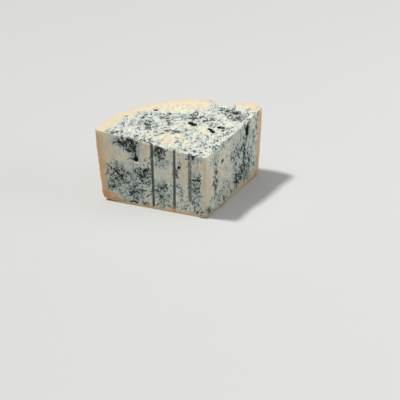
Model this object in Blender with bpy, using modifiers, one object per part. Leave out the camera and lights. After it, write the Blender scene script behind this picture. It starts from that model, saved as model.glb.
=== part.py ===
"""A wedge of blue cheese: about a quarter of the lower half of a wheel, resting on the wheel's flat rind.

The wheel is turned, a sector is cut out of it and the top is sliced off, as a cheesemonger would do it.
The soft middle of the wheel has sunk, so the top rises towards the rind. The slumped foot is then added,
and the chips, holes and needle channels are taken out.

Units are metres and +Z is up. The tip of the wedge points along -Y and the rind curves round the back.
The model is laid out from the point where the two cut faces meet, and then centred over the origin.
"""

import math

import bmesh
import bpy
from mathutils import Matrix, Vector

# The wheel
WHEEL_RADIUS = 0.140  # at the level of the top cut
SIDE_BULGE = 0.0055  # the side is this much further in at its foot
CORNER_RADIUS = 0.0065  # between the side and the underside
UNDERSIDE_LIFT = 0.0028  # the underside curls up this far at its rim
LIFT_WIDTH = 0.034  # and starts to curl this far in from it
BLANK_HEIGHT = 0.125  # of the turned wheel, before the top is cut
WHEEL_STEPS = 150

# The cuts
WEDGE_ANGLE = math.radians(103.0)
TIP_PAST_AXIS = Vector((0.0040, -0.0073))  # from the wheel's axis to the point where the cut faces meet
NOSE_RADIUS = 0.0042  # of the worn edge between the cut faces
NOSE_STEPS = 8
MIDDLE_HEIGHT = 0.0860  # of the top cut, on the wheel's axis
RIM_HEIGHT = 0.1005  # and at the rind
TOP_LEAN = 0.0106  # the top drops this far for each metre from left to right
REACH = 0.190  # half the width of a cutter that passes right through the wheel

# The broken place on the rind: how long and high the cutters are that make it
BREAK_LENGTH = 0.048
BREAK_HEIGHT = 0.030

# The needle channels, pierced upright and cut open along the left face
CHANNEL_RADIUS = 0.0019
CHANNEL_SIDES = 10

# Faces are measured along the cut from the tip, and up from the underside.
LEFT = math.pi / 2 + WEDGE_ANGLE / 2
RIGHT = math.pi / 2 - WEDGE_ANGLE / 2


def clear_scene():
    for obj in list(bpy.data.objects):
        bpy.data.objects.remove(obj, do_unlink=True)
    for collection in list(bpy.data.collections):
        bpy.data.collections.remove(collection)


def new_collection(name):
    collection = bpy.data.collections.new(name)
    bpy.context.scene.collection.children.link(collection)
    return collection


def new_object(name, mesh, collection, place=Matrix.Identity(4)):
    obj = bpy.data.objects.new(name, mesh)
    obj.matrix_world = place
    collection.objects.link(obj)
    return obj


def top_height(x, y):
    """Height of the top cut over a point of the plan."""
    radius = math.hypot(x + TIP_PAST_AXIS.x, y + TIP_PAST_AXIS.y)
    return MIDDLE_HEIGHT + (RIM_HEIGHT - MIDDLE_HEIGHT) * radius / WHEEL_RADIUS - TOP_LEAN * x


def rim_point(angle, inwards):
    """A point of the plan this far in from the rind, at this angle from +X about the wheel's axis."""
    radius = WHEEL_RADIUS - inwards
    return radius * math.cos(angle) - TIP_PAST_AXIS.x, radius * math.sin(angle) - TIP_PAST_AXIS.y


def on_face(direction, along, height, outward=0.0):
    """A point on a cut face, or this far out from it."""
    normal = direction - math.copysign(math.pi / 2, math.pi / 2 - direction)
    x = along * math.cos(direction) + outward * math.cos(normal)
    y = along * math.sin(direction) + outward * math.sin(normal)
    return Vector((x, y, height))


def cheese_material():
    """Pale cream paste with blue-green veins: their mean colour on a cut face."""
    material = bpy.data.materials.new("blue_cheese_paste")
    material.use_nodes = True
    shader = material.node_tree.nodes["Principled BSDF"]
    shader.inputs["Base Color"].default_value = (0.56, 0.55, 0.45, 1.0)
    shader.inputs["Roughness"].default_value = 0.6
    shader.inputs["Metallic"].default_value = 0.0
    return material


def side_radius(height):
    """The side bulges outwards as it rises to the level of the top cut."""
    below = max(0.0, 1.0 - height / RIM_HEIGHT)
    return WHEEL_RADIUS - SIDE_BULGE * below**1.6


def wheel_profile():
    """Half of the wheel's section as (radius, height), from the axis over the top and down the side."""
    corner_height = UNDERSIDE_LIFT + CORNER_RADIUS
    corner_centre = side_radius(corner_height) - CORNER_RADIUS
    points = [(0.0, BLANK_HEIGHT), (WHEEL_RADIUS, BLANK_HEIGHT)]
    side_steps = 7
    for step in range(side_steps):
        height = RIM_HEIGHT + (corner_height - RIM_HEIGHT) * step / side_steps
        points.append((side_radius(height), height))
    corner_steps = 6
    for step in range(corner_steps + 1):
        angle = math.pi / 2 * step / corner_steps
        radius = corner_centre + CORNER_RADIUS * math.cos(angle)
        points.append((radius, corner_height - CORNER_RADIUS * math.sin(angle)))
    lift_steps = 5
    for step in range(1, lift_steps + 1):
        left = 1.0 - step / lift_steps
        radius = corner_centre - LIFT_WIDTH * (1.0 - left)
        points.append((radius, UNDERSIDE_LIFT * left**2))
    points.append((0.0, 0.0))
    return points


def turned_object(name, profile, collection):
    """Turns (radius, height) points, which run down the outer side, about the wheel's axis."""
    mesh = bpy.data.meshes.new(name)
    shape = bmesh.new()
    verts = [shape.verts.new((radius, 0.0, height)) for radius, height in profile]
    for start, end in zip(verts, verts[1:]):
        shape.edges.new((start, end))
    shape.to_mesh(mesh)
    shape.free()
    axis = Matrix.Translation((-TIP_PAST_AXIS.x, -TIP_PAST_AXIS.y, 0.0))
    obj = new_object(name, mesh, collection, axis)
    turn = obj.modifiers.new("turned", "SCREW")
    turn.steps = turn.render_steps = WHEEL_STEPS
    turn.use_smooth_shade = False
    turn.use_merge_vertices = True
    turn.merge_threshold = 0.0001
    return obj


def sector_outline():
    """Plan of the sector: the worn nose, then the corners, which lie outside the wheel."""
    centre = Vector((0.0, NOSE_RADIUS / math.sin(WEDGE_ANGLE / 2)))
    points = []
    for step in range(NOSE_STEPS + 1):
        swing = (math.pi - WEDGE_ANGLE) * (step / NOSE_STEPS - 0.5)
        out = Vector((math.sin(swing), -math.cos(swing)))
        points.append(centre + NOSE_RADIUS * out)
    side = REACH * math.tan(RIGHT)
    corners = ((REACH, side), (REACH, REACH), (-REACH, REACH), (-REACH, side))
    return points + [Vector(corner) for corner in corners]


def sector_cutter(collection):
    curve = bpy.data.curves.new("sector", "CURVE")
    curve.dimensions = "2D"
    curve.fill_mode = "BOTH"
    curve.extrude = BLANK_HEIGHT
    spline = curve.splines.new("POLY")
    outline = sector_outline()
    spline.points.add(len(outline) - 1)
    for point, place in zip(spline.points, outline):
        point.co = (place.x, place.y, 0.0, 1.0)
    spline.use_cyclic_u = True
    drawn = new_object("sector_outline", curve, collection)
    bpy.context.view_layer.update()
    graph = bpy.context.evaluated_depsgraph_get()
    mesh = bpy.data.meshes.new_from_object(drawn.evaluated_get(graph))
    shape = bmesh.new()
    shape.from_mesh(mesh)
    bmesh.ops.remove_doubles(shape, verts=shape.verts, dist=0.0001)
    bmesh.ops.recalc_face_normals(shape, faces=shape.faces)
    shape.to_mesh(mesh)
    shape.free()
    mesh.shade_flat()
    bpy.data.objects.remove(drawn)
    return new_object("sector", mesh, collection)


def box_cutter(name, collection, size, place):
    mesh = bpy.data.meshes.new(name)
    shape = bmesh.new()
    bmesh.ops.create_cube(shape, size=1.0, matrix=Matrix.Diagonal((*size, 1.0)))
    shape.to_mesh(mesh)
    shape.free()
    return new_object(name, mesh, collection, place)


def lump_cutter(name, collection, radii, place):
    """An egg-shaped piece with these half-widths."""
    mesh = bpy.data.meshes.new(name)
    shape = bmesh.new()
    bmesh.ops.create_icosphere(shape, subdivisions=3, radius=1.0, matrix=Matrix.Diagonal((*radii, 1.0)))
    shape.to_mesh(mesh)
    shape.free()
    return new_object(name, mesh, collection, place)


def needle_cutter(name, collection, start, end, radius):
    """A round rod from one point to another."""
    mesh = bpy.data.meshes.new(name)
    shape = bmesh.new()
    bmesh.ops.create_cone(
        shape,
        cap_ends=True,
        segments=CHANNEL_SIDES,
        radius1=radius,
        radius2=radius,
        depth=(end - start).length,
    )
    shape.to_mesh(mesh)
    shape.free()
    turn = (end - start).to_track_quat("Z", "Y").to_matrix().to_4x4()
    return new_object(name, mesh, collection, Matrix.Translation((start + end) / 2) @ turn)


def crack_cutter(name, collection, place, width, depth, length):
    """A blade that is wide at its top and runs out to nothing at its foot."""
    mesh = bpy.data.meshes.new(name)
    shape = bmesh.new()
    bmesh.ops.create_cone(
        shape,
        cap_ends=True,
        segments=8,
        radius1=0.12,
        radius2=1.0,
        depth=1.0,
        matrix=Matrix.Diagonal((width / 2, depth, length, 1.0)),
    )
    shape.to_mesh(mesh)
    shape.free()
    return new_object(name, mesh, collection, place)


def apply_boolean(body, cutter, operation):
    cut = body.modifiers.new(cutter.name, "BOOLEAN")
    cut.operation = operation
    cut.solver = "EXACT"
    cut.object = cutter


def cut_top(body, collection):
    """The top cut, sunk towards the middle of the wheel and leaning a little to the right.

    It skips a flake that stands up at the right end of the rind, which so keeps the wheel's own side.
    """
    slope = (RIM_HEIGHT - MIDDLE_HEIGHT) / WHEEL_RADIUS
    ceiling = BLANK_HEIGHT + 0.020
    edge = MIDDLE_HEIGHT + slope * REACH
    profile = ((0.0, ceiling), (REACH, ceiling), (REACH, edge), (0.0, MIDDLE_HEIGHT))
    cutter = turned_object("top_cut", profile, collection)
    cutter.matrix_world = cutter.matrix_world @ Matrix.Rotation(math.atan(TOP_LEAN), 4, "Y")
    angle = math.radians(42.5)
    x, y = rim_point(angle, 0.0030)
    place = Matrix.Translation((x, y, top_height(x, y) - 0.0020)) @ Matrix.Rotation(angle, 4, "Z")
    flake = lump_cutter("raised_flake", collection, (0.0150, 0.0155, 0.0052), place)
    apply_boolean(cutter, flake, "DIFFERENCE")
    apply_boolean(body, cutter, "DIFFERENCE")


def add_slumps(body, collection):
    """Soft paste has sagged outwards along the foot."""
    # name, face, along, height, outward, half-widths along, out and up
    lumps = (
        ("foot_nose", LEFT, 0.0055, 0.0044, -0.0030, (0.0090, 0.0048, 0.0041)),
        ("foot_tooth", RIGHT, 0.0165, 0.0088, -0.0030, (0.0085, 0.0055, 0.0085)),
        ("foot_lip", RIGHT, 0.0400, 0.0055, -0.0010, (0.0150, 0.0040, 0.0052)),
    )
    for name, face, along, height, outward, radii in lumps:
        place = Matrix.Translation(on_face(face, along, height, outward)) @ Matrix.Rotation(face, 4, "Z")
        apply_boolean(body, lump_cutter(name, collection, radii, place), "UNION")


def break_rim(body, collection):
    """A flake is missing from the top of the rind: it slopes down from the left, as far as a step."""
    # name, degrees about the wheel's axis, depth at the rind, width, turn down to the right in degrees
    breaks = (
        ("rim_break", 56.8, 0.0081, 0.0226, 3.0),
        ("rim_slope", 63.7, 0.0034, 0.0135, 33.0),
    )
    for name, degrees, depth, width, lean in breaks:
        angle = math.radians(degrees)
        x, y = rim_point(angle, 0.0)
        floor = Matrix.Translation((x, y, top_height(x, y) - depth)) @ Matrix.Rotation(angle, 4, "Z")
        turn = Matrix.Rotation(math.radians(13), 4, "Y") @ Matrix.Rotation(math.radians(lean), 4, "X")
        place = floor @ turn @ Matrix.Translation((0.0, 0.0, BREAK_HEIGHT / 2))
        box = box_cutter(name, collection, (BREAK_LENGTH, width, BREAK_HEIGHT), place)
        apply_boolean(body, box, "DIFFERENCE")
    # name, degrees about the wheel's axis, half-widths inwards, along the rind and down
    hollows = (
        ("rim_worn", 51.5, (0.0130, 0.0110, 0.0016)),
        ("rim_dip", 69.2, (0.0100, 0.0050, 0.0016)),
    )
    for name, degrees, radii in hollows:
        angle = math.radians(degrees)
        x, y = rim_point(angle, 0.0)
        place = Matrix.Translation((x, y, top_height(x, y))) @ Matrix.Rotation(angle, 4, "Z")
        apply_boolean(body, lump_cutter(name, collection, radii, place), "DIFFERENCE")


def chip_edges(body, collection):
    """Worn places along the top edges."""
    # name, face, along, below the top, outward, half-widths along, out and up
    chips = (
        ("chip_right_edge", RIGHT, 0.0270, -0.0015, 0.0015, (0.0260, 0.0048, 0.0075)),
        ("chip_nose", RIGHT, 0.0050, -0.0015, 0.0030, (0.0090, 0.0050, 0.0070)),
    )
    for name, face, along, below, outward, radii in chips:
        spot = on_face(face, along, 0.0, outward)
        spot.z = top_height(spot.x, spot.y) - below
        place = Matrix.Translation(spot) @ Matrix.Rotation(face, 4, "Z")
        apply_boolean(body, lump_cutter(name, collection, radii, place), "DIFFERENCE")


def open_holes(body, collection):
    """Holes where mould has opened the paste, on the top and on the cut faces."""
    # name, x, y, half-widths, heading in degrees
    holes = (
        ("hole_large", 0.0104, 0.0824, (0.0062, 0.0034, 0.0045), -60),
        ("slit_tip", 0.0279, 0.0588, (0.0070, 0.0021, 0.0040), -77),
        ("slit_right", 0.0415, 0.0613, (0.0050, 0.0020, 0.0036), -44),
        ("hole_back", -0.0251, 0.1278, (0.0030, 0.0020, 0.0028), 10),
    )
    for name, x, y, radii, heading in holes:
        turn = Matrix.Rotation(math.radians(heading), 4, "Z")
        place = Matrix.Translation((x, y, top_height(x, y) - 0.0004)) @ turn
        apply_boolean(body, lump_cutter(name, collection, radii, place), "DIFFERENCE")
    # name, face, along, height, outward, half-widths along, out and up
    pits = (
        ("pit_left", LEFT, 0.0935, 0.0675, 0.0004, (0.0036, 0.0036, 0.0032)),
        ("pit_left_above", LEFT, 0.0942, 0.0745, 0.0007, (0.0017, 0.0028, 0.0085)),
        ("pit_right", RIGHT, 0.0390, 0.0648, 0.0005, (0.0022, 0.0035, 0.0022)),
    )
    for name, face, along, height, outward, radii in pits:
        place = Matrix.Translation(on_face(face, along, height, outward)) @ Matrix.Rotation(face, 4, "Z")
        apply_boolean(body, lump_cutter(name, collection, radii, place), "DIFFERENCE")


def open_cracks(body, collection):
    """Cracks that narrow downwards: down the right face, and behind the tooth of paste at its foot."""
    # name, foot and head (along, height) on the right face, width, depth
    cracks = (
        ("crack_upper", (0.0935, 0.0440), (0.1070, 0.0960), 0.0052, 0.0050),
        ("crack_lower", (0.0940, 0.0200), (0.0943, 0.0600), 0.0034, 0.0040),
        ("crack_tooth", (0.0065, 0.0015), (0.0095, 0.0190), 0.0026, 0.0042),
    )
    for name, low, high, width, depth in cracks:
        foot = on_face(RIGHT, *low)
        head = on_face(RIGHT, *high)
        lean = math.atan2(high[0] - low[0], high[1] - low[1])
        turn = Matrix.Rotation(RIGHT, 4, "Z") @ Matrix.Rotation(lean, 4, "Y")
        place = Matrix.Translation((foot + head) / 2) @ turn
        blade = crack_cutter(name, collection, place, width, depth, (head - foot).length)
        apply_boolean(body, blade, "DIFFERENCE")


def pierce_channels(body, collection):
    """Half of each needle channel is left along the left face."""
    # name, distance from the tip at the foot and at the top, lowest point, radius, axis out from the face
    channels = (
        ("channel_1", 0.0213, 0.0222, 0.0200, 0.0030, 0.0014),
        ("channel_2", 0.0428, 0.0419, 0.0055, CHANNEL_RADIUS, 0.0),
        ("channel_3", 0.0712, 0.0718, 0.0035, CHANNEL_RADIUS, 0.0),
        ("channel_4", 0.0990, 0.0965, 0.0120, CHANNEL_RADIUS, 0.0009),
    )
    for name, foot, head, low, radius, outward in channels:
        start = on_face(LEFT, foot, low, outward)
        end = on_face(LEFT, head, BLANK_HEIGHT, outward)
        apply_boolean(body, needle_cutter(name, collection, start, end, radius), "DIFFERENCE")


def centre_over_origin(body):
    """Moves everything by its parent, so that the wedge stands centred over the origin."""
    origin = bpy.data.objects.new("wedge_origin", None)
    bpy.context.scene.collection.objects.link(origin)
    for obj in list(bpy.data.objects):
        if obj is not origin:
            obj.parent = origin
    bpy.context.view_layer.update()
    finished = body.evaluated_get(bpy.context.evaluated_depsgraph_get())
    corners = [finished.matrix_world @ vert.co for vert in finished.data.vertices]
    lowest = Vector([min(corner[axis] for corner in corners) for axis in range(3)])
    highest = Vector([max(corner[axis] for corner in corners) for axis in range(3)])
    middle = (lowest + highest) / 2
    origin.location = (-middle.x, -middle.y, -lowest.z)


def main():
    clear_scene()
    parts = new_collection("blue_cheese_wedge")
    cutters = new_collection("cutters")
    wedge = turned_object("cheese_wedge", wheel_profile(), parts)
    wedge.data.materials.append(cheese_material())
    apply_boolean(wedge, sector_cutter(cutters), "INTERSECT")
    cut_top(wedge, cutters)
    add_slumps(wedge, cutters)
    break_rim(wedge, cutters)
    chip_edges(wedge, cutters)
    open_holes(wedge, cutters)
    open_cracks(wedge, cutters)
    pierce_channels(wedge, cutters)
    for cutter in cutters.objects:
        cutter.hide_render = True
        cutter.display_type = "WIRE"
    centre_over_origin(wedge)


main()
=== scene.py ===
"""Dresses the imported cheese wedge: veined paste, rind and crumb, on a pale studio floor."""

import math

import bmesh
import bpy
import numpy as np
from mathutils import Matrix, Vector, noise


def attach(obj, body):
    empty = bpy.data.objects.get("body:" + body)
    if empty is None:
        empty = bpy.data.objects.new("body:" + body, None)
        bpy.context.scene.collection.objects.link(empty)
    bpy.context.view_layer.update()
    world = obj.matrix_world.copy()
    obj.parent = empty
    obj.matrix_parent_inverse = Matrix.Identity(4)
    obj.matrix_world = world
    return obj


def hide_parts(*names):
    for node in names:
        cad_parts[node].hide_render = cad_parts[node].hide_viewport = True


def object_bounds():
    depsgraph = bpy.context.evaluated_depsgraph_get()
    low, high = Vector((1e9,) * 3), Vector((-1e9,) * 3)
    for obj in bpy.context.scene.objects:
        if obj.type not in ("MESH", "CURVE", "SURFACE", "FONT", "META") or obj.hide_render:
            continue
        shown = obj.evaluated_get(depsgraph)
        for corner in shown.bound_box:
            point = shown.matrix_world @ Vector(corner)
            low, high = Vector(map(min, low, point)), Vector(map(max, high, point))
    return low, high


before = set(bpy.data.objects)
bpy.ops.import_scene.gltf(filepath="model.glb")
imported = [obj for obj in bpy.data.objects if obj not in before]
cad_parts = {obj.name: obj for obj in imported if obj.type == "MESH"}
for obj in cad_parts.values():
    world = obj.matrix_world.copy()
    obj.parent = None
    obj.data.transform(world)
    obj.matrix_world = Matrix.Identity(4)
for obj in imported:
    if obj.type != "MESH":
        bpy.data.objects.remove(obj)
CAD_LOW, CAD_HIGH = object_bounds()

bl_info = {
    "name": "Blue cheese wedge",
    "version": (1, 0, 0),
    "blender": (4, 5, 0),
    "location": "3D View > Sidebar > Cheese",
    "description": "Makes a veined cheese wedge around its solid model, with its floor and light",
    "category": "Add Mesh",
}

NODE = "cheese_wedge"
BODY = "root"
MM = 0.001

# Kinds of node, and settings that many of them share.
MATH = "ShaderNodeMath"
VECTOR = "ShaderNodeVectorMath"
COMBINE = "ShaderNodeCombineXYZ"
NOISE = "ShaderNodeTexNoise"
CELLS = "ShaderNodeTexVoronoi"
RANGE = "ShaderNodeMapRange"
MIX = "ShaderNodeMix"
COLOURED = {"out": 2, "data_type": "RGBA"}
SOFT_ENDS = {"interpolation_type": "SMOOTHSTEP"}

# The key light comes from the back left and high up, spread over 7 degrees to soften the shadow's edge.
KEY_FROM = (-0.38, 0.22, 0.90)
KEY_SPREAD = 7.0
# The wide light overhead fills the shadows, and reaches upright faces less than level ones.
OVERHEAD_SIZE, OVERHEAD_PLACE = 4.5, (0.0, 0.0, 2.5)
# A small soft light from the right lifts the right cut face, which looks into the wedge's own shadow.
SIDE_SIZE, SIDE_PLACE = 1.2, (1.7, -0.8, 0.9)
ROOM_COLOUR = (0.97, 0.985, 1.0, 1)
# The point that the camera looks at, in metres, and the width of its sensor, in millimetres.
CAMERA_AIM = (-0.01055, -0.0867, 0.0373)
SENSOR_WIDTH = 36.0

# The wheel that the wedge was cut from, in millimetres.
WHEEL_RADIUS = 140.0
SIDE_BULGE = 5.5
SIDE_BULGE_POWER = 1.6
RIM_HEIGHT = 100.5
RIND_CORNER = 6.5
# The edges of mould patches wander: wave length and reach, and the seed that their wander starts from.
SWAY = ((12.0, 4.5), (4.0, 1.6))
SWAY_SEED = 3
# The marks are drawn out by these factors along X, Y and Z, and by this much more down a dragged face.
CURD_SHAPE = (0.78, 1.22, 0.92)
DRAG_STRETCH = 0.42
# The tan band is thinner along the underside than up the side, by this much.
UNDER_BAND = 2.8
# How much skin has worn off along the top of the rind.
WORN_SKIN = 0.9
TOP_MIDDLE_HEIGHT = 86.0
TOP_RISE = 14.5
TOP_LEAN = 0.0106
# The tip, where the two cut faces meet, from the box's low corner, and the wheel's axis from the tip.
TIP_FROM_LOW = (115.5, 0.9)
AXIS_FROM_TIP = (-4.0, 7.3)
# Which way each cut face runs from the tip, and which way it looks, in degrees from +X.
LEFT_RUN, LEFT_LOOK = 141.5, 231.5
RIGHT_RUN, RIGHT_LOOK = 38.5, -51.5

# Needle channels open along the left face: along at the foot, along at the head, radius, lowest, strength.
CHANNELS = (
    (21.3, 22.2, 2.3, 20.0, 0.70),
    (42.8, 41.9, 1.7, 5.0, 1.00),
    (71.2, 71.8, 1.7, 3.0, 1.00),
    (99.0, 96.5, 0.9, 14.0, 0.55),
)

# Patches on a face: along (or x), up (or y), half width, half height, turn in degrees, strength.
LEFT_MOULD = (
    (112, 90, 17, 9, 0, 0.50),
    (102, 82, 8, 13, 0, 0.34),
    (91, 82, 9, 13, 0, 0.08),
    (106, 35, 34, 27, -8, 0.31),
    (116, 38, 8, 6, 0, 0.18),
    (92, 19, 9, 11, 0, 0.24),
    (83, 50, 10, 11, 20, 0.36),
    (131, 24, 6, 9, 0, 0.26),
    (131, 52, 10, 9, 0, 0.26),
    (60, 78, 10, 16, 0, 0.36),
    (63, 82, 6, 8, 0, 0.24),
    (58, 24, 12, 19, 0, 0.34),
    (60, 36, 9, 5, 0, 0.22),
    (56, 14, 9, 9, 0, 0.28),
    (36, 62, 5, 14, 0, 0.34),
    (36, 34, 4, 14, 0, 0.24),
    (18, 87, 11, 7, 0, 0.34),
    (14, 42, 9, 20, 0, 0.30),
    (20, 16, 9, 6, 0, 0.24),
    (18, 8, 20, 8, 0, 0.24),
    (90, 4, 24, 4, 0, 0.30),
    (108, 54, 8, 6, 10, -0.20),
    (58, 52, 10, 7, 0, -0.40),
    (29, 60, 4, 30, 0, -0.40),
    (82, 86, 6, 10, 0, -0.40),
    (133, 80, 11, 22, 0, -0.40),
    (112, 68, 8, 7, 0, -0.30),
    # Partly painted highlight: clears the mould off the rounded nose, where it catches the light.
    (1, 46, 5, 34, 0, -0.50),
    (88, 50, 8, 8, 0, 0.22),
    (36, 66, 8, 10, 0, 0.12),
    (18, 58, 8, 14, 0, 0.14),
    (54, 11, 10, 12, 0, -0.22),
)
LEFT_STAIN = (
    (120, 89, 1.8, 9, 0, 0.50),
    (95.5, 84, 1.4, 9, 0, 0.50),
    (98, 66, 6, 1.5, 0, 0.70),
    (117, 39, 5, 4, 30, 0.42),
    (114, 32, 5, 2.5, 0, 0.40),
    (86, 50, 2.2, 5, 25, 0.42),
    (80, 58, 2.6, 3.2, 25, 0.60),
    (90, 14.5, 5, 1.8, 0, 0.55),
    (92, 23, 5, 1.6, -25, 0.42),
    (63, 82, 4, 3.5, 0, 0.45),
    (54, 40.5, 5, 1.2, 10, 0.60),
    (61, 19, 4.5, 1.6, -15, 0.45),
    (35.5, 65.5, 3.6, 1.3, 0, 0.85),
    (36, 72, 3.5, 1.3, 0, 0.55),
    (38, 56, 1.8, 4, 0, 0.55),
    (8, 30, 4, 1.6, 0, 0.45),
    (22, 17, 4, 2.6, 0, 0.45),
    (95, 50, 1.6, 2.4, 0, 0.50),
    (66, 8, 2, 3, 0, 0.45),
    (98, 2, 3, 1.5, 0, 0.60),
)
LEFT_BLOOM = (
    (108, 54, 10, 8, 20, 1.00),
    (131, 24, 5, 8, 0, 0.70),
    (102, 32, 26, 22, -8, 0.80),
    (60, 76, 10, 16, 0, 0.70),
    (59, 24, 11, 18, 0, 0.80),
    (57, 50, 10, 10, 0, 0.35),
    (36, 35, 5, 12, 0, 0.70),
    (16, 86, 10, 7, 0, 0.60),
    (14, 42, 9, 20, 0, 0.90),
    (106, 88, 16, 10, 0, 0.60),
    (93, 80, 7, 12, 0, 0.90),
)
LEFT_WARM = (
    (130, 66, 12, 36, 0, 0.40),
    (82, 86, 6, 11, 0, 0.45),
    (29, 62, 4, 28, 0, 0.30),
    (14, 72, 7, 8, 0, 0.35),
    # Partly painted highlight: the peach down the rounded nose stands in for the light it catches, as well
    # as for dried curd.
    (1, 46, 4.5, 32, 0, 0.60),
    (75, 3, 80, 4, 0, 0.40),
    (141, 10, 9, 8, 0, 1.60),
    (126, 7, 17, 5, 0, 1.10),
    (43, 4, 2.5, 5, 0, 1.60),
)
RIGHT_MOULD = (
    (23, 52, 6, 33, 0, 0.32),
    (24, 56, 5, 8, 0, 0.24),
    (78, 52, 17, 34, 0, 0.16),
    (90, 24, 18, 12, 0, 0.26),
    (108, 60, 15, 34, 0, 0.16),
    (45, 90, 34, 7, 0, 0.17),
    (60, 20, 34, 12, 0, 0.14),
    (50, 52, 13, 18, 0, -0.18),
    (92, 62, 9, 16, 0, 0.14),
    (16, 9, 8, 7, 0, 0.16),
    (2, 9, 7, 7, 0, 0.34),
    # Partly painted highlight: clears the mould off the rounded nose, where it catches the light.
    (4, 48, 7, 30, 0, -0.60),
)
RIGHT_STAIN = (
    (102.5, 84, 4.5, 8.5, -12, 1.25),
    (95, 60, 3.4, 28, 3, 0.50),
    (93, 26, 6, 8, 0, 0.60),
    (25, 56, 3.5, 6, 0, 0.45),
    (39, 65, 2.2, 1.8, 0, 0.90),
    (28, 16, 3, 4, 0, 0.60),
    (41, 11, 3, 4, 0, 0.60),
    (61, 11, 3, 6, 0, 0.75),
    (73, 12, 2.5, 4, 0, 0.40),
    (121, 53, 6, 1.6, 0, 0.50),
    (52, 32, 5, 1.6, -20, 0.45),
)
RIGHT_BLOOM = (
    (23, 52, 5, 32, 0, 0.55),
    (78, 52, 16, 32, 0, 0.70),
    (92, 25, 14, 9, 0, 0.60),
    (111, 55, 12, 36, 0, 0.45),
    (45, 90, 32, 7, 0, 0.30),
)
RIGHT_WARM = (
    # Partly painted highlight: the peach down the rounded nose stands in for the light it catches, as well
    # as for dried curd.
    (4, 42, 6.5, 32, 0, 0.55),
    (44, 50, 14, 26, 0, 0.20),
    (100, 5, 34, 8, 0, 0.65),
    (44, 2, 12, 5, 0, 0.90),
    (130, 55, 6, 40, 0, 0.40),
)
TOP_MOULD = (
    (-92, 84, 12, 12, 30, 0.16),
    (-73, 107, 14, 20, -20, 0.14),
    (-45, 112, 22, 20, 0, 0.16),
    (-33, 129, 12, 7, 0, 0.14),
    (-12, 107, 10, 20, -15, 0.16),
    (16, 107, 17, 13, 20, 0.18),
    (24, 88, 13, 14, 0, 0.14),
    (72, 86, 14, 16, -20, 0.40),
    (62, 112, 18, 14, 0, 0.24),
    (5, 30, 34, 20, 0, 0.17),
    (-66, 56, 14, 16, 0, 0.14),
    (-10, 73, 12, 5, 0, 0.18),
    (-70, 66, 30, 10, -35, 0.12),
    (-40, 88, 22, 12, 0, 0.12),
    (-64, 82, 12, 14, 0, -0.04),
    (44, 66, 16, 14, 0, 0.08),
    (-36, 52, 10, 10, 40, -0.30),
    (-12, 50, 6, 14, 0, -0.30),
    (12, 131, 34, 14, 0, -0.70),
    (94, 102, 14, 11, 0, -0.50),
)
TOP_STAIN = (
    (-66, 120, 4, 3, 20, 0.47),
    (-25, 129, 4, 3, 40, 0.42),
    (-10, 113, 2.4, 6, -30, 0.42),
    (-56, 96, 6, 2.5, 0, 0.38),
    (-14, 97, 8, 3, 10, 0.42),
    (10, 99, 8, 3, -20, 0.55),
    (10, 84, 4, 6, 35, 0.51),
    (28, 59, 2.2, 6, 8, 0.59),
    (42, 63, 5, 2, -35, 0.51),
    (72, 92, 5, 8, 30, 0.68),
    (71, 79, 4, 5, 0, 0.47),
    (86, 84, 5, 2.5, 0, 0.38),
    (-97, 78, 6, 3, 40, 0.51),
    (-69, 72, 2.5, 6, 0, 0.34),
    (-5, 29, 8, 2, 10, 0.34),
    (26, 117, 8, 2.5, 45, 0.34),
    (66, 104, 6, 3, 0, 0.42),
)
# Holes and cracks that are open in the solid: dark inside, and with clean edges.
TOP_OPENINGS = (
    (10.4, 82.4, 6.2, 3.2, -60, 1.2),
    (27.9, 58.8, 7.0, 2.0, -77, 1.2),
    (41.5, 61.3, 5.2, 1.9, -44, 1.2),
    (-25.1, 127.8, 3.0, 1.8, 10, 1.2),
)
OPENING_EDGE, OPENING_SURROUND = (1.25, 0.80), (1.8, 1.1)
LEFT_OPENINGS = (
    (93.5, 67.5, 3.2, 2.8, 0, 1.2),
    (94.0, 75.5, 1.0, 9.0, 0, 0.9),
)
RIGHT_OPENINGS = (
    (39.0, 64.8, 1.9, 2.0, 0, 1.2),
    (100.4, 71.0, 1.1, 26.0, -14.6, 0.9),
    (94.1, 40.0, 0.9, 20.0, 0, 0.8),
    # Painted shade: this crack at the nose's foot is darkened like an open vein, standing in for the shade
    # inside the crevice.
    (8.0, 10.0, 0.8, 9.0, -9.7, 0.8),
)
TOP_BLOOM = (
    (-60, 98, 32, 24, 0, 0.38),
    (-20, 112, 30, 18, 0, 0.30),
    (20, 102, 22, 14, 0, 0.41),
    (74, 88, 16, 17, -20, 0.49),
    (62, 112, 14, 12, 0, 0.38),
    (5, 34, 26, 16, 0, 0.45),
    (-10, 74, 12, 5, 0, 0.52),
    (-76, 92, 10, 10, 0, 0.22),
)
TOP_WARM = (
    (-36, 54, 13, 14, 40, 0.28),
    (-12, 48, 6, 18, 0, 0.38),
    (-92, 104, 12, 10, 40, 0.17),
    (18, 132, 28, 12, 0, 0.17),
    (94, 100, 13, 12, 0, 0.20),
    (16, 60, 8, 8, 0, 0.26),
)
# Where the rind has broken away, on the top, and how much deeper than the rind that lays the paste bare.
BROKEN_RIM = (70, 120, 22, 24, 0, 1.0)
BROKEN_EDGE = (1.2, 0.8)
BROKEN_DEPTH = 16.0

# What each face has where no patch lies: on the top, the left face and the right face.
EVEN_MARKS = {
    "mould": (0.36, 0.22, 0.30),
    "stain": (0.0, 0.0, 0.0),
    "bloom": (0.05, 0.12, 0.22),
    "warm": (0.0, 0.12, 0.05),
}
PATCHES = {
    "mould": (TOP_MOULD, LEFT_MOULD, RIGHT_MOULD),
    "stain": (TOP_STAIN, LEFT_STAIN, RIGHT_STAIN),
    "bloom": (TOP_BLOOM, LEFT_BLOOM, RIGHT_BLOOM),
    "warm": (TOP_WARM, LEFT_WARM, RIGHT_WARM),
}
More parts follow.
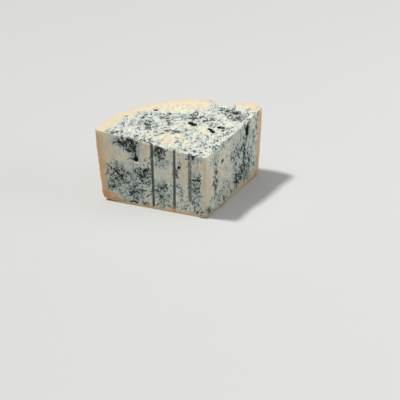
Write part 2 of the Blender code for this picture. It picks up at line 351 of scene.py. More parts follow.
# A face fades out over this depth, and keeps this share where the surface is turned away from it.
FACE_FADE, FACE_GLANCE = 4.0, 0.15
# Mould comes and goes over this many millimetres, by this much.
DRIFT_WAVE, DRIFT_PART = 16.0, 0.22
# Least and most mould, and how much less there is close to the rind.
MOULD_LEAST, MOULD_MOST, MOULD_OFF_RIND = -0.45, 1.15, 0.6
# Dried spots on the top: how wide, where their pattern starts, and how warm.
DRIED_WAVE, DRIED_START, DRIED_PART = 11.0, (7.0, 3.0, 1.0), 0.7


def linear(hex_colour):
    """A colour as printed, such as EFE6CF, as the linear red, green and blue that shaders take."""
    parts = [int(hex_colour[i : i + 2], 16) / 255 for i in (0, 2, 4)]
    return tuple(c / 12.92 if c <= 0.04045 else ((c + 0.055) / 1.055) ** 2.4 for c in parts)


def tone(name, description, default):
    """A colour that a user may change."""
    return bpy.props.FloatVectorProperty(
        name=name,
        description=description,
        subtype="COLOR",
        size=3,
        min=0.0,
        max=1.0,
        default=linear(default),
    )


def length(name, description, default):
    """A length that a user may change, in metres."""
    return bpy.props.FloatProperty(
        name=name, description=description, default=default, min=0.0, unit="LENGTH", precision=4
    )


class CheeseForm(bpy.types.PropertyGroup):
    """Sizes of the wedge's surface."""

    grain: length("Mesh grain", "Spacing of the surface mesh", 0.00108)
    vein_grain: length("Vein grain", "Size of the curds that the veins run between", 0.0064)
    speck_grain: length("Speck grain", "Size of the finer specks of mould", 0.0026)
    vein_pit: length("Vein pits", "How far an open vein sinks into a cut face", 0.0011)
    crumb: length("Crumb", "How deep the torn, crumbly top is", 0.0022)
    drag: length("Knife drag", "How deep the knife's drag lines are", 0.0004)
    rind_rough: length("Rind roughness", "How deep the rind's dimples are", 0.0005)
    seed: bpy.props.FloatProperty(
        name="Seed", description="Picks another arrangement of veins and crumb", default=3.0
    )


class CheeseColours(bpy.types.PropertyGroup):
    """Colours of the paste, the mould and the rind."""

    paste: tone("Paste", "Plain curd, moist and creamy", "F6EBD0")
    cool: tone("Cool paste", "Curd that has taken a grey-green cast between the veins", "E6ECDF")
    # Besides dried curd, this peach also paints a highlight down the rounded nose.
    peach: tone("Peach paste", "Curd that has dried near a cut edge", "EBCFA4")
    bloom: tone("Bloom", "Thin blue-grey mould around a vein", "C2CDC6")
    bloom_above: tone("Bloom above", "The same, thinner and drier, on the torn top", "DEE3DE")
    thin_vein: tone("Thin vein", "Grey-green mould in a thin or shallow vein", "6C7975")
    vein: tone("Vein", "Blue-green mould that fills a vein", "2F3A37")
    channel: tone("Channel lining", "Grey-green mould that lines the needle channels", "505B54")
    deep: tone("Deep mould", "The darkest mould, inside openings", "222B28")
    band: tone("Rind band", "The dense tan layer under the rind", "E7C294")
    band_deep: tone("Deep rind band", "The same layer where it is ripest, low down", "E0A468")
    band_above: tone("Rind band above", "The same layer where the top cut shows it", "F3DDB9")
    crust: tone("Crust", "The rind's dry outer skin", "D6BE98")
    crust_dark: tone("Dark crust", "Brown blotches on the rind", "B08E62")
    crust_pale: tone("Pale crust", "Grey-white bloom on the rind", "DDD3BD")


class CheeseStage(bpy.types.PropertyGroup):
    """The floor, the light and the camera."""

    floor: tone("Floor", "The plain pale floor", "DADBD9")
    floor_size: length("Floor size", "Width of the floor", 30.0)
    key: bpy.props.FloatProperty(
        name="Key light", description="Strength of the soft main light", default=2.30, min=0.0
    )
    fill: bpy.props.FloatProperty(
        name="Fill light",
        description="Power of the wide soft light overhead, in watts",
        default=31.5,
        min=0.0,
    )
    side: bpy.props.FloatProperty(
        name="Side light",
        description="Power of the soft light from the right, in watts",
        default=7.4,
        min=0.0,
    )
    room: bpy.props.FloatProperty(
        name="Room light", description="Strength of the even light all round", default=0.06, min=0.0
    )
    azimuth: bpy.props.FloatProperty(
        name="Camera azimuth",
        description="Which side the camera looks from, in degrees from the front",
        default=-19.3,
    )
    elevation: bpy.props.FloatProperty(
        name="Camera elevation", description="How far up the camera is, in degrees", default=30.67
    )
    distance: length("Camera distance", "From the camera to the point it looks at", 1.0198)
    lens: bpy.props.FloatProperty(
        name="Lens", description="Focal length in millimetres", default=75.2, min=1.0
    )


def add(tree, kind, inputs=(), out=0, **settings):
    """Adds one node with its settings, and values or links for its inputs. Returns one of its outputs."""
    node = tree.nodes.new(kind)
    for name, value in settings.items():
        setattr(node, name, value)
    pairs = inputs.items() if isinstance(inputs, dict) else enumerate(inputs)
    for key, value in pairs:
        if isinstance(value, bpy.types.NodeSocket):
            tree.links.new(value, node.inputs[key])
        elif value is not None:
            node.inputs[key].default_value = value
    return node.outputs[out] if len(node.outputs) else None


def socket(tree, name, kind, default=None):
    """Adds one named input to a geometry tree."""
    made = tree.interface.new_socket(name=name, in_out="INPUT", socket_type=kind)
    if default is not None:
        made.default_value = default
    return made.identifier


def vein_network(tree, place, read, vein_grain, speck_grain, seed):
    """Where mould grows, from a place in millimetres and what the mesh says of the curd there.

    It gives the marks, their dark cores and open pits, the halo round them, and the gap between large curds.
    Real veins follow the gaps between curds, so the marks run along the walls of warped cells and
    break up into specks. The same nodes shape the pits in the mesh and colour the paste.
    """
    # Curds lie wider than they are deep, and the knife has dragged them down where it cut last.
    height = add(tree, "ShaderNodeSeparateXYZ", [place], out=2)
    under_top = add(tree, MATH, [height, -RIM_HEIGHT], operation="ADD")
    pulled = add(tree, MATH, [under_top, read["dragged"]], operation="MULTIPLY")
    pull_down = add(tree, MATH, [pulled, -DRAG_STRETCH], operation="MULTIPLY")
    pull = add(tree, COMBINE, {2: pull_down})
    shaped = add(tree, VECTOR, [place, CURD_SHAPE], operation="MULTIPLY")
    drawn = add(tree, VECTOR, [shaped, pull], operation="ADD")
    shifted = add(tree, VECTOR, [drawn, add(tree, COMBINE, [seed, seed, seed])], operation="ADD")
    wander = add(tree, NOISE, {"Vector": shifted, "Scale": 0.12, "Detail": 3.5, "Roughness": 0.62}, out=1)
    centred = add(tree, VECTOR, [wander, (0.5, 0.5, 0.5)], operation="SUBTRACT")
    push = add(tree, VECTOR, {0: centred, "Scale": 15.0}, operation="SCALE")
    warped = add(tree, VECTOR, [shifted, push], operation="ADD")
    speck_scale = add(tree, MATH, [1.0, speck_grain], operation="DIVIDE")

    # Mould takes hold in blotches a few millimetres across, and in finer specks.
    blotch = add(tree, NOISE, {"Vector": shifted, "Scale": 0.17, "Detail": 3.0, "Roughness": 0.55})
    blotchy = add(tree, RANGE, [blotch, 0.30, 0.70, 0.0, 1.0])
    speck = add(tree, NOISE, {"Vector": warped, "Scale": speck_scale, "Detail": 2.0, "Roughness": 0.5})
    specky = add(tree, RANGE, [speck, 0.32, 0.68, 0.0, 1.0])
    broken_up = add(tree, RANGE, [read["crumbly"], 0.2, 0.8, 0.68, 0.24])
    mixed = add(tree, MIX, {0: broken_up, 2: blotchy, 3: specky})
    want = add(tree, MATH, [read["mould"], mixed], operation="ADD")

    # Half widths of the lines, in millimetres. The gaps between large curds open first, then finer ones.
    marks = []
    gap_mm = None
    for grain, start, full, widest in (
        (add(tree, MATH, [vein_grain, 1.7], operation="MULTIPLY"), 0.66, 1.25, 0.95),
        (vein_grain, 0.80, 1.40, 0.60),
        (speck_grain, 0.92, 1.55, 0.40),
    ):
        scale = add(tree, MATH, [1.0, grain], operation="DIVIDE")
        cells = {"Vector": warped, "Scale": scale}
        wall = add(tree, CELLS, cells, feature="DISTANCE_TO_EDGE", out="Distance")
        wall_mm = add(tree, MATH, [wall, grain], operation="MULTIPLY")
        gap_mm = gap_mm or wall_mm
        half_width = add(tree, RANGE, [want, start, full, -0.1, widest])
        inside = add(tree, MATH, [half_width, wall_mm], operation="SUBTRACT")
        marks.append(add(tree, RANGE, [inside, -0.15, 0.20, 0.0, 1.0], **SOFT_ENDS))
    blot = add(tree, RANGE, [want, 1.62, 1.90, 0.0, 1.0], **SOFT_ENDS)
    lines = add(tree, MATH, marks[:2], operation="MAXIMUM")
    finer = add(tree, MATH, [marks[2], blot], operation="MAXIMUM")
    grown = add(tree, MATH, [lines, finer], operation="MAXIMUM")
    halo = add(tree, RANGE, [want, 0.50, 1.15, 0.0, 1.0], **SOFT_ENDS)

    # A stain is mould put at a listed place, with its edge eaten away by the specks.
    bite = add(tree, RANGE, [specky, 0.0, 1.0, -0.55, 0.35])
    eaten = add(tree, MATH, [read["stain"], bite], operation="ADD")
    stained = add(tree, RANGE, [eaten, 0.22, 0.60, 0.0, 1.0], **SOFT_ENDS)
    mark = add(tree, MATH, [grown, stained], operation="MAXIMUM", use_clamp=True)
    depth = add(tree, MATH, [want, read["stain"]], operation="ADD")
    core_want = add(tree, RANGE, [depth, 0.86, 1.20, 0.0, 1.0], **SOFT_ENDS)
    core = add(tree, MATH, [core_want, mark], operation="MULTIPLY", use_clamp=True)
    pit_want = add(tree, RANGE, [depth, 1.45, 2.10, 0.0, 1.0], **SOFT_ENDS)
    pit = add(tree, MATH, [pit_want, mark], operation="MULTIPLY", use_clamp=True)
    return {"mark": mark, "core": core, "pit": pit, "halo": halo, "gap": gap_mm}


def relief_tree(material):
    """The geometry tree that gives the cuts their crumb, pits and drag lines, and the rind its dimples."""
    tree = bpy.data.node_groups.new("cheese relief", "GeometryNodeTree")
    tree.interface.new_socket(name="Geometry", in_out="INPUT", socket_type="NodeSocketGeometry")
    tree.interface.new_socket(name="Geometry", in_out="OUTPUT", socket_type="NodeSocketGeometry")
    names = ("Vein grain", "Speck grain", "Vein pits", "Crumb", "Knife drag", "Rind roughness", "Seed")
    ids = {name: socket(tree, name, "NodeSocketFloat", 1.0) for name in names}
    given = tree.nodes.new("NodeGroupInput")
    mm = {name: add(tree, MATH, [given.outputs[name], 1000.0], operation="MULTIPLY") for name in names[:-1]}

    read = {
        name: add(tree, "GeometryNodeInputNamedAttribute", {"Name": name}, data_type="FLOAT")
        for name in ("mould", "stain", "crumbly", "dragged", "rind_mm", "held")
    }
    position = add(tree, "GeometryNodeInputPosition")
    place = add(tree, VECTOR, {0: position, "Scale": 1000.0}, operation="SCALE")
    grown = vein_network(tree, place, read, mm["Vein grain"], mm["Speck grain"], given.outputs["Seed"])

    # Torn curd: flakes stand proud of the gaps between them, with lumps about 6 mm across and finer crumbs.
    flake_depth = add(tree, RANGE, [grown["gap"], 0.0, 2.2, 1.0, 0.0], **SOFT_ENDS)
    lumps = add(tree, NOISE, {"Vector": place, "Scale": 0.16, "Detail": 4.0, "Roughness": 0.65})
    lump_depth = add(tree, RANGE, [lumps, 0.36, 0.66, 0.0, 1.0])
    fine = add(tree, NOISE, {"Vector": place, "Scale": 0.4, "Detail": 2.0})
    fine_depth = add(tree, RANGE, [fine, 0.35, 0.7, 0.0, 0.5])
    lumpy = add(tree, MATH, [lump_depth, fine_depth], operation="ADD")
    flaky = add(tree, MATH, [flake_depth, 0.8], operation="MULTIPLY")
    torn = add(tree, MATH, [lumpy, flaky], operation="ADD")
    torn_here = add(tree, MATH, [torn, read["crumbly"]], operation="MULTIPLY")
    torn_mm = add(tree, MATH, [torn_here, mm["Crumb"]], operation="MULTIPLY")

    # Drag lines stand upright on the face that the knife was pulled down.
    upright = add(tree, VECTOR, [place, (0.55, 0.55, 0.05)], operation="MULTIPLY")
    lines = add(tree, NOISE, {"Vector": upright, "Scale": 1.0, "Detail": 3.0, "Roughness": 0.6})
    line_depth = add(tree, RANGE, [lines, 0.35, 0.65, 0.0, 1.0])
    line_here = add(tree, MATH, [line_depth, read["dragged"]], operation="MULTIPLY")
    line_mm = add(tree, MATH, [line_here, mm["Knife drag"]], operation="MULTIPLY")

    # Open veins sink into the paste. The rind has none.
    inside = add(tree, RANGE, [read["rind_mm"], 1.0, 4.0, 0.0, 1.0])
    lining = add(tree, MATH, [grown["mark"], grown["core"]], operation="ADD")
    sunk = add(tree, MATH, [lining, grown["pit"]], operation="ADD")
    sunk_part = add(tree, MATH, [sunk, 1.0 / 3.0], operation="MULTIPLY")
    open_vein = add(tree, MATH, [sunk_part, inside], operation="MULTIPLY")
    pit_mm = add(tree, MATH, [open_vein, mm["Vein pits"]], operation="MULTIPLY")

    # The rind's dimples are about 5 mm across.
    dimples = add(tree, NOISE, {"Vector": place, "Scale": 0.2, "Detail": 5.0, "Roughness": 0.6})
    dimple = add(tree, RANGE, [dimples, 0.4, 0.66, 0.0, 1.0])
    outside = add(tree, RANGE, [read["rind_mm"], 0.3, 1.5, 1.0, 0.0])
    dimple_here = add(tree, MATH, [dimple, outside], operation="MULTIPLY")
    dimple_mm = add(tree, MATH, [dimple_here, mm["Rind roughness"]], operation="MULTIPLY")

    cuts = add(tree, MATH, [torn_mm, line_mm], operation="ADD")
    skin = add(tree, MATH, [pit_mm, dimple_mm], operation="ADD")
    total = add(tree, MATH, [cuts, skin], operation="ADD")
    free = add(tree, MATH, [total, read["held"]], operation="MULTIPLY")
    inward = add(tree, MATH, [free, -MM], operation="MULTIPLY")
    normal = add(tree, "GeometryNodeInputNormal")
    offset = add(tree, VECTOR, {0: normal, "Scale": inward}, operation="SCALE")
    moved = add(tree, "GeometryNodeSetPosition", {"Geometry": given.outputs["Geometry"], "Offset": offset})
    real = add(tree, "GeometryNodeRealizeInstances", [moved])
    dressed = add(tree, "GeometryNodeSetMaterial", {"Geometry": real, "Material": material})
    add(tree, "NodeGroupOutput", [dressed])
    return tree, ids


def cheese_material(form, colours):
    """Blue-veined curd, ripened and then cut: moist, with a soft gloss, and light that sinks in a little.

    The eye gets cream paste with blue-green veins and a paler bloom round them, and a dry, blotchy tan rind.
    """
    material = bpy.data.materials.new("blue veined curd and rind")
    material.use_nodes = True
    tree = material.node_tree
    tree.nodes.clear()
    read = {
        name: add(tree, "ShaderNodeAttribute", out=2, attribute_name=name)
        for name in ("mould", "stain", "bloom", "warm", "rind_mm", "crumbly", "dragged", "pale", "channel")
    }
    seen = add(tree, "ShaderNodeTexCoord", out=3)
    place = add(tree, VECTOR, {0: seen, "Scale": 1000.0}, operation="SCALE")
    grown = vein_network(tree, place, read, form.vein_grain / MM, form.speck_grain / MM, form.seed)

    # Paste: cream, cooler where mould is near, peach where it has dried; the peach down the rounded nose is
    # partly a painted highlight.
    cloud = add(tree, NOISE, {"Vector": place, "Scale": 0.09, "Detail": 4.0, "Roughness": 0.6})
    cloudy = add(tree, RANGE, [cloud, 0.35, 0.65, -0.25, 0.25])
    greyed = add(tree, MATH, [read["bloom"], grown["halo"]], operation="MAXIMUM")
    near_mould = add(tree, MATH, [greyed, cloudy], operation="ADD")
    cool_part = add(tree, RANGE, [near_mould, 0.0, 0.55, 0.0, 1.0], **SOFT_ENDS)
    paste = add(tree, MIX, {0: cool_part, 6: (*colours.paste, 1), 7: (*colours.cool, 1)}, **COLOURED)
    half_cloudy = add(tree, MATH, [cloudy, 0.5], operation="MULTIPLY")
    warm_want = add(tree, MATH, [read["warm"], half_cloudy], operation="ADD")
    warm_part = add(tree, RANGE, [warm_want, 0.05, 1.0, 0.0, 1.0])
    peachy = add(tree, MIX, {0: warm_part, 6: paste, 7: (*colours.peach, 1)}, **COLOURED)
    tan_part = add(tree, RANGE, [warm_want, 0.9, 1.8, 0.0, 0.9])

    # Bloom: a thin blue-grey veil, patchy at about 4 mm, thickest round the veins.
    veil = add(tree, NOISE, {"Vector": place, "Scale": 0.28, "Detail": 5.0, "Roughness": 0.65})
    veiled = add(tree, RANGE, [veil, 0.34, 0.66, -0.55, 0.40])
    round_veins = add(tree, MIX, {0: 0.5, 2: read["bloom"], 3: grown["halo"]})
    veil_want = add(tree, MATH, [round_veins, veiled], operation="ADD")
    veil_part = add(tree, RANGE, [veil_want, 0.0, 0.85, 0.0, 0.95])
    veils = {0: read["crumbly"], 6: (*colours.bloom, 1), 7: (*colours.bloom_above, 1)}
    bloom = add(tree, MIX, veils, **COLOURED)
    bloomed = add(tree, MIX, {0: veil_part, 6: peachy, 7: bloom}, **COLOURED)
    # On the torn top the light gets into the thin marks, so they show paler.
    thinned = add(tree, RANGE, [read["crumbly"], 0.3, 0.9, 1.0, 0.80])
    thin_part = add(tree, MATH, [grown["mark"], thinned], operation="MULTIPLY")
    marked = add(tree, MIX, {0: thin_part, 6: bloomed, 7: (*colours.thin_vein, 1)}, **COLOURED)
    core_part = add(tree, MATH, [grown["core"], thinned], operation="MULTIPLY")
    veined = add(tree, MIX, {0: core_part, 6: marked, 7: (*colours.vein, 1)}, **COLOURED)
    cored = add(tree, MIX, {0: grown["pit"], 6: veined, 7: (*colours.deep, 1)}, **COLOURED)
    patchy = add(tree, MATH, [veiled, 0.3], operation="MULTIPLY")
    lined_want = add(tree, MATH, [read["channel"], patchy], operation="ADD")
    lined_part = add(tree, RANGE, [lined_want, 0.15, 0.95, 0.0, 0.95])
    lined = add(tree, MIX, {0: lined_part, 6: cored, 7: (*colours.channel, 1)}, **COLOURED)

    # Rind: a tan band that fades into the paste over a few millimetres, under a dry blotchy skin.
    # Seen from above, on the fresh cut, the band is only a pale cream edge.
    ragged = add(tree, NOISE, {"Vector": place, "Scale": 0.12, "Detail": 4.0, "Roughness": 0.6})
    ragged_mm = add(tree, RANGE, [ragged, 0.3, 0.7, -1.8, 1.8])
    band_mm = add(tree, MATH, [read["rind_mm"], ragged_mm], operation="ADD")
    band_part = add(tree, RANGE, [band_mm, 3.5, 14.0, 1.0, 0.0], **SOFT_ENDS)
    bands = {0: read["pale"], 6: (*colours.band, 1), 7: (*colours.band_above, 1)}
    band = add(tree, MIX, bands, **COLOURED)
    faded = add(tree, MIX, {0: band_part, 6: lined, 7: band}, **COLOURED)
    banded = add(tree, MIX, {0: tan_part, 6: faded, 7: (*colours.band_deep, 1)}, **COLOURED)
    level = add(tree, VECTOR, [place, (0.8, 0.8, 1.5)], operation="MULTIPLY")
    blotches = add(tree, NOISE, {"Vector": level, "Scale": 0.07, "Detail": 8.0, "Roughness": 0.75})
    dark_part = add(tree, RANGE, [blotches, 0.40, 0.68, 0.0, 0.80])
    crust = add(tree, MIX, {0: dark_part, 6: (*colours.crust, 1), 7: (*colours.crust_dark, 1)}, **COLOURED)
    dusting = add(tree, NOISE, {"Vector": place, "Scale": 0.16, "Detail": 8.0, "Roughness": 0.8})
    dust_part = add(tree, RANGE, [dusting, 0.48, 0.66, 0.0, 0.80])
    dusted = add(tree, MIX, {0: dust_part, 6: crust, 7: (*colours.crust_pale, 1)}, **COLOURED)
    skin_part = add(tree, RANGE, [read["rind_mm"], 0.25, 0.75, 1.0, 0.0], **SOFT_ENDS)
    colour = add(tree, MIX, {0: skin_part, 6: banded, 7: dusted}, **COLOURED)

    # Moist paste has a soft sheen. Mould and rind are dry.
    dry = add(tree, MATH, [grown["mark"], skin_part], operation="MAXIMUM")
    roughness = add(tree, RANGE, [dry, 0.0, 1.0, 0.5, 0.82])

    # Fine curd texture that the mesh is too coarse for, about 0.7 mm across.
    grit = add(tree, NOISE, {"Vector": place, "Scale": 1.4, "Detail": 3.0, "Roughness": 0.6})
    sunk = add(tree, MATH, [grown["mark"], -0.5], operation="MULTIPLY")
    height = add(tree, MATH, [grit, sunk], operation="ADD")
    normal = add(tree, "ShaderNodeBump", {"Strength": 0.35, "Distance": 0.0006, "Height": height})
    shader = add(
        tree,
        "ShaderNodeBsdfPrincipled",
        {
            "Base Color": colour,
            "Roughness": roughness,
            "Normal": normal,
            "IOR": 1.45,
            "Subsurface Weight": 0.12,
            "Subsurface Radius": (1.0, 0.8, 0.5),
            "Subsurface Scale": 0.003,
        },
    )
    add(tree, "ShaderNodeOutputMaterial", [shader])
    return material


def curd_mesh(form):
    """A fine even mesh of the CAD wedge, whose own mesh is loose triangles and is left alone."""
    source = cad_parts[NODE]
    joined = bmesh.new()
    joined.from_mesh(source.data)
    bmesh.ops.remove_doubles(joined, verts=joined.verts, dist=1e-6)
    mesh = bpy.data.meshes.new("cheese_body")
    joined.to_mesh(mesh)
    joined.free()
    body = bpy.data.objects.new("cheese_body", mesh)
    bpy.context.scene.collection.objects.link(body)
    remesh = body.modifiers.new("even grain", "REMESH")
    remesh.mode = "VOXEL"
    remesh.voxel_size = form.grain
    remesh.use_smooth_shade = True
    return baked(body)


def baked(body):
    """Turns an object's modifiers into plain mesh, and removes them."""
    graph = bpy.context.evaluated_depsgraph_get()
    made = bpy.data.meshes.new_from_object(
        body.evaluated_get(graph), preserve_all_data_layers=True, depsgraph=graph
    )
    body.modifiers.clear()
    old = body.data
    body.data = made
    bpy.data.meshes.remove(old)
    made.name = body.name
    return body


def along(angle):
    """A level unit direction, from degrees round from +X."""
    return np.array([math.cos(math.radians(angle)), math.sin(math.radians(angle))])


def patches(across, up, rows, edge=(1.55, 0.45)):
    """Adds up a face's patches. Each fades between two edges, given as shares of its half widths."""
    total = np.zeros_like(across)
    for middle_across, middle_up, half_across, half_up, turn, strength in rows:
        c, s = math.cos(math.radians(turn)), math.sin(math.radians(turn))
        x, y = across - middle_across, up - middle_up
        far = np.hypot((x * c + y * s) / half_across, (y * c - x * s) / half_up)
        total += strength * smooth(*edge, far)
    return total


def smooth(start, end, value):
    """0 at start, 1 at end, with a soft run between."""
    t = np.clip((value - start) / (end - start), 0.0, 1.0)
    return t * t * (3.0 - 2.0 * t)


def near_faces(points, normals, flat):
    """How deep each point lies under each face, in millimetres, and how squarely it looks out of it."""
    from_axis = flat - np.array(AXIS_FROM_TIP)
    reach = np.hypot(from_axis[:, 0], from_axis[:, 1])
    outward = from_axis / np.maximum(reach, 1e-6)[:, None]
    z = points[:, 2]
    below_rim = np.clip(1.0 - z / RIM_HEIGHT, 0.0, 1.0)
    side_radius = WHEEL_RADIUS - SIDE_BULGE * below_rim**SIDE_BULGE_POWER
    top_z = TOP_MIDDLE_HEIGHT + TOP_RISE * reach / WHEEL_RADIUS - TOP_LEAN * flat[:, 0]
    far = {
        "top": top_z - z,
        "left": -flat @ along(LEFT_LOOK),
        "right": -flat @ along(RIGHT_LOOK),
        "side": side_radius - reach,
        "under": z,
    }
    facing = {
        "top": normals[:, 2],
        "left": normals[:, :2] @ along(LEFT_LOOK),
        "right": normals[:, :2] @ along(RIGHT_LOOK),
        "side": (normals[:, :2] * outward).sum(1),
        "under": -normals[:, 2],
    }
    return far, facing


def face_shares(far, facing):
    """How much of each face every point has. A point's shares add up to 1."""
    share = {
        name: np.exp(-np.clip(far[name], 0.0, 60.0) / FACE_FADE)
        * (FACE_GLANCE + np.clip(facing[name], 0.0, 1.0))
        for name in far
    }
    whole = sum(value**3 for value in share.values())
    return {name: value**3 / whole for name, value in share.items()}


def rind_depth(far, facing, broken):
    """How far in from the rind each point is, in millimetres, rounded at the rind's lower corner."""
    side, under = far["side"], far["under"] * UNDER_BAND
    round_mm = RIND_CORNER - np.hypot(RIND_CORNER - side, RIND_CORNER - under)
    in_corner = (side < RIND_CORNER) & (under < RIND_CORNER)
    rind_mm = np.clip(np.where(in_corner, round_mm, np.minimum(side, under)), 0.0, 60.0)
    # The skin has worn off along the top of the rind, down to the pale band.
    rind_mm += WORN_SKIN * smooth(5.0, 1.5, far["top"])
    # Where a flake of rind has broken away, veined paste shows right out to the side.
    rind_mm += BROKEN_DEPTH * broken * smooth(0.25, 0.6, facing["top"]) * smooth(1.0, 2.5, far["top"])
    return rind_mm


def channel_lining(run, up, near):
    """How thickly mould lines each point of the needle channels, which carry air down the face."""
    lining = np.zeros(len(run))
    for foot, head, radius, lowest, strength in CHANNELS:
        middle = foot + (head - foot) * up / RIM_HEIGHT
        across = smooth(radius + 0.6, radius - 0.5, np.abs(run - middle))
        lined = across * smooth(lowest - 3, lowest + 2, up)
        lining = np.maximum(lining, lined * near * strength)
    return lining


def drifting(points, wave, start=(0.0, 0.0, 0.0)):
    """Soft noise at each point, over this many millimetres."""
    return np.array([noise.noise(Vector(p) / wave + Vector(start)) for p in points])


def lay_out(body):
    """Writes on each vertex how mouldy, warm, crumbly and near the rind it is."""
    mesh = body.data
    points = np.empty(len(mesh.vertices) * 3, np.float32)
    mesh.vertices.foreach_get("co", points)
    points = points.reshape(-1, 3).astype(float) / MM
    normals = np.array([v.vector for v in mesh.vertex_normals], float)

    tip = np.array(CAD_LOW)[:2] / MM + np.array(TIP_FROM_LOW)
    # Vector noise starts from the clock unless it is seeded.
    noise.seed_set(SWAY_SEED)
    sway = sum(
        np.array([noise.noise_vector(Vector(p) / wave) for p in points]) * reach for wave, reach in SWAY
    )
    swayed = points + sway
    flat = points[:, :2] - tip
    swayed_flat = swayed[:, :2] - tip
    z = points[:, 2]

    far, facing = near_faces(points, normals, flat)
    share = face_shares(far, facing)
    broken = np.clip(patches(flat[:, 0], flat[:, 1], (BROKEN_RIM,), BROKEN_EDGE), 0.0, 1.0)
    rind_mm = rind_depth(far, facing, broken)

    spots = (
        (swayed_flat[:, 0], swayed_flat[:, 1]),
        (swayed_flat @ along(LEFT_RUN), swayed[:, 2]),
        (swayed_flat @ along(RIGHT_RUN), swayed[:, 2]),
    )
    marks = {}
    for name, even in EVEN_MARKS.items():
        marks[name] = sum(
            share[face] * (start + patches(*spot, rows))
            for face, spot, start, rows in zip(("top", "left", "right"), spots, even, PATCHES[name])
        )
    near_left = smooth(0.25, 0.6, share["left"]) * smooth(9.0, 6.0, far["left"])
    marks["channel"] = channel_lining(flat @ along(LEFT_RUN), z, near_left)

    drift = drifting(points, DRIFT_WAVE)
    marks["mould"] += DRIFT_PART * drift * (1.0 - share["side"])
    # The top is plain and smooth along the rind, except where the rind has broken away.
    plain = share["top"] * smooth(20.0, 10.0, far["side"] + 5.0 * drift) * (1.0 - broken)
    near_rind = np.maximum(plain, smooth(9.0, 3.0, rind_mm) * (1.0 - share["top"]))
    marks["mould"] = np.clip(marks["mould"], MOULD_LEAST, MOULD_MOST) - MOULD_OFF_RIND * near_rind

    # Holes keep clean edges, so they are placed without the sway, and the crumb is cleared round them.
    opened = np.zeros(len(points))
    cleared = np.zeros(len(points))
    for face, across, up, rows in (
        ("top", flat[:, 0], flat[:, 1], TOP_OPENINGS),
        ("left", flat @ along(LEFT_RUN), z, LEFT_OPENINGS),
        ("right", flat @ along(RIGHT_RUN), z, RIGHT_OPENINGS),
    ):
        near = smooth(9.0, 6.0, far[face])
        opened = np.maximum(opened, near * patches(across, up, rows, OPENING_EDGE))
        cleared = np.maximum(cleared, near * patches(across, up, rows, OPENING_SURROUND))
    marks["stain"] = np.maximum(marks["stain"], opened)
    marks["stain"] = np.clip(marks["stain"], 0.0, 1.2) * smooth(0.5, 3.0, rind_mm)
    marks["bloom"] = np.clip(marks["bloom"], 0.0, 1.0)
    dried = drifting(points, DRIED_WAVE, DRIED_START)
    marks["warm"] += DRIED_PART * np.clip(dried - 0.1, 0.0, 1.0) * share["top"]
    marks["warm"] = np.clip(marks["warm"], 0.0, 2.0)
    marks["rind_mm"] = rind_mm
    marks["crumbly"] = share["top"] * (1.0 - 0.85 * np.clip(cleared, 0.0, 1.0)) * (1.0 - 0.8 * plain)
    marks["pale"] = np.maximum(share["top"], smooth(8.0, 2.0, far["top"]))
    marks["dragged"] = share["right"] + 0.25 * share["left"]
    # The flat underside isn't roughened, so that the wedge still stands on it.
    marks["held"] = 1.0 - smooth(-0.6, -0.9, normals[:, 2]) * smooth(1.2, 0.4, z)
    for name, value in marks.items():
        layer = mesh.attributes.new(name, "FLOAT", "POINT")
        layer.data.foreach_set("value", value.astype(np.float32))


def inside_box(body):
    """Brings any vertex that the remesh left outside the CAD box back onto it."""
    mesh = body.data
    points = np.empty(len(mesh.vertices) * 3, np.float32)
    mesh.vertices.foreach_get("co", points)
    held = np.clip(points.reshape(-1, 3), np.array(CAD_LOW), np.array(CAD_HIGH))
    mesh.vertices.foreach_set("co", held.astype(np.float32).ravel())
    mesh.update()


class CHEESE_OT_wedge(bpy.types.Operator):
    """Make the wedge's veined paste and rind around its solid model"""

    bl_idname = "cheese.wedge"
    bl_label = "Cheese wedge"
    bl_options = {"REGISTER", "UNDO"}

    def execute(self, context):
        form = context.scene.cheese_form
        material = cheese_material(form, context.scene.cheese_colours)
        body = curd_mesh(form)
        lay_out(body)
        tree, ids = relief_tree(material)
        relief = body.modifiers.new("cheese relief", "NODES")
        relief.node_group = tree
        for name, value in (
            ("Vein grain", form.vein_grain),
            ("Speck grain", form.speck_grain),
            ("Vein pits", form.vein_pit),
            ("Crumb", form.crumb),
            ("Knife drag", form.drag),
            ("Rind roughness", form.rind_rough),
            ("Seed", form.seed),
        ):
            relief[ids[name]] = value
        baked(body)
        inside_box(body)
        body.data.polygons.foreach_set("use_smooth", [True] * len(body.data.polygons))
        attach(body, BODY)
        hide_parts(NODE)
        return {"FINISHED"}


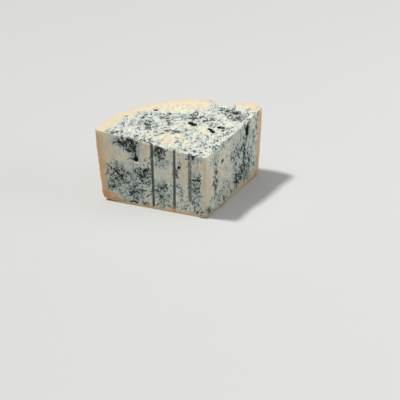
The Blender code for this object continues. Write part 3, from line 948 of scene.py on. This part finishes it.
class CHEESE_OT_stage(bpy.types.Operator):
    """Make the pale floor, the soft light and the camera"""

    bl_idname = "cheese.stage"
    bl_label = "Stage"
    bl_options = {"REGISTER", "UNDO"}

    def execute(self, context):
        scene = context.scene
        stage = scene.cheese_stage
        half = stage.floor_size / 2
        mesh = bpy.data.meshes.new("floor")
        mesh.from_pydata(
            [(-half, -half, 0), (half, -half, 0), (half, half, 0), (-half, half, 0)], [], [(0, 1, 2, 3)]
        )
        floor = bpy.data.objects.new("floor", mesh)
        scene.collection.objects.link(floor)
        floor.location.z = CAD_LOW.z
        material = bpy.data.materials.new("matt white paper backdrop")
        material.use_nodes = True
        surface = material.node_tree.nodes["Principled BSDF"]
        surface.inputs["Base Color"].default_value = (*stage.floor, 1)
        surface.inputs["Roughness"].default_value = 0.9
        surface.inputs["Specular IOR Level"].default_value = 0.2
        mesh.materials.append(material)

        key = bpy.data.lights.new("key", "SUN")
        key.energy = stage.key
        key.angle = math.radians(KEY_SPREAD)
        lamp = bpy.data.objects.new("key", key)
        scene.collection.objects.link(lamp)
        lamp.rotation_euler = Vector(KEY_FROM).to_track_quat("Z", "Y").to_euler()

        for name, power, size, place in (
            ("overhead", stage.fill, OVERHEAD_SIZE, OVERHEAD_PLACE),
            ("side", stage.side, SIDE_SIZE, SIDE_PLACE),
        ):
            wide = bpy.data.lights.new(name, "AREA")
            wide.shape = "DISK"
            wide.size = size
            wide.energy = power
            panel = bpy.data.objects.new(name, wide)
            scene.collection.objects.link(panel)
            panel.location = place
            panel.rotation_euler = Vector(place).to_track_quat("Z", "Y").to_euler()

        world = bpy.data.worlds.new("soft room")
        world.use_nodes = True
        sky = world.node_tree.nodes["Background"]
        sky.inputs["Color"].default_value = ROOM_COLOUR
        sky.inputs["Strength"].default_value = stage.room
        scene.world = world
        scene.view_settings.view_transform = "Standard"

        camera = bpy.data.objects.new("camera", bpy.data.cameras.new("camera"))
        scene.collection.objects.link(camera)
        camera.data.lens = stage.lens
        camera.data.sensor_width = SENSOR_WIDTH
        turn, rise = math.radians(stage.azimuth), math.radians(stage.elevation)
        back = Vector((math.sin(turn) * math.cos(rise), -math.cos(turn) * math.cos(rise), math.sin(rise)))
        camera.location = Vector(CAMERA_AIM) + back * stage.distance
        camera.rotation_euler = back.to_track_quat("Z", "Y").to_euler()
        scene.camera = camera
        return {"FINISHED"}


class CHEESE_PT_panel(bpy.types.Panel):
    """Lists what the cheese wedge is made of"""

    bl_idname = "CHEESE_PT_panel"
    bl_label = "Blue cheese wedge"
    bl_space_type = "VIEW_3D"
    bl_region_type = "UI"
    bl_category = "Cheese"

    def draw(self, context):
        layout = self.layout
        for operator, group in (
            (CHEESE_OT_wedge, context.scene.cheese_form),
            (None, context.scene.cheese_colours),
            (CHEESE_OT_stage, context.scene.cheese_stage),
        ):
            box = layout.box()
            if operator:
                box.operator(operator.bl_idname)
            for name in group.__annotations__:
                box.prop(group, name)


CLASSES = (CheeseForm, CheeseColours, CheeseStage, CHEESE_OT_wedge, CHEESE_OT_stage, CHEESE_PT_panel)


def register():
    for entry in CLASSES:
        bpy.utils.register_class(entry)
    bpy.types.Scene.cheese_form = bpy.props.PointerProperty(type=CheeseForm)
    bpy.types.Scene.cheese_colours = bpy.props.PointerProperty(type=CheeseColours)
    bpy.types.Scene.cheese_stage = bpy.props.PointerProperty(type=CheeseStage)


def unregister():
    del bpy.types.Scene.cheese_stage
    del bpy.types.Scene.cheese_colours
    del bpy.types.Scene.cheese_form
    for entry in reversed(CLASSES):
        bpy.utils.unregister_class(entry)


def main():
    register()
    bpy.ops.cheese.stage()
    bpy.ops.cheese.wedge()


if __name__ == "__main__":
    main()
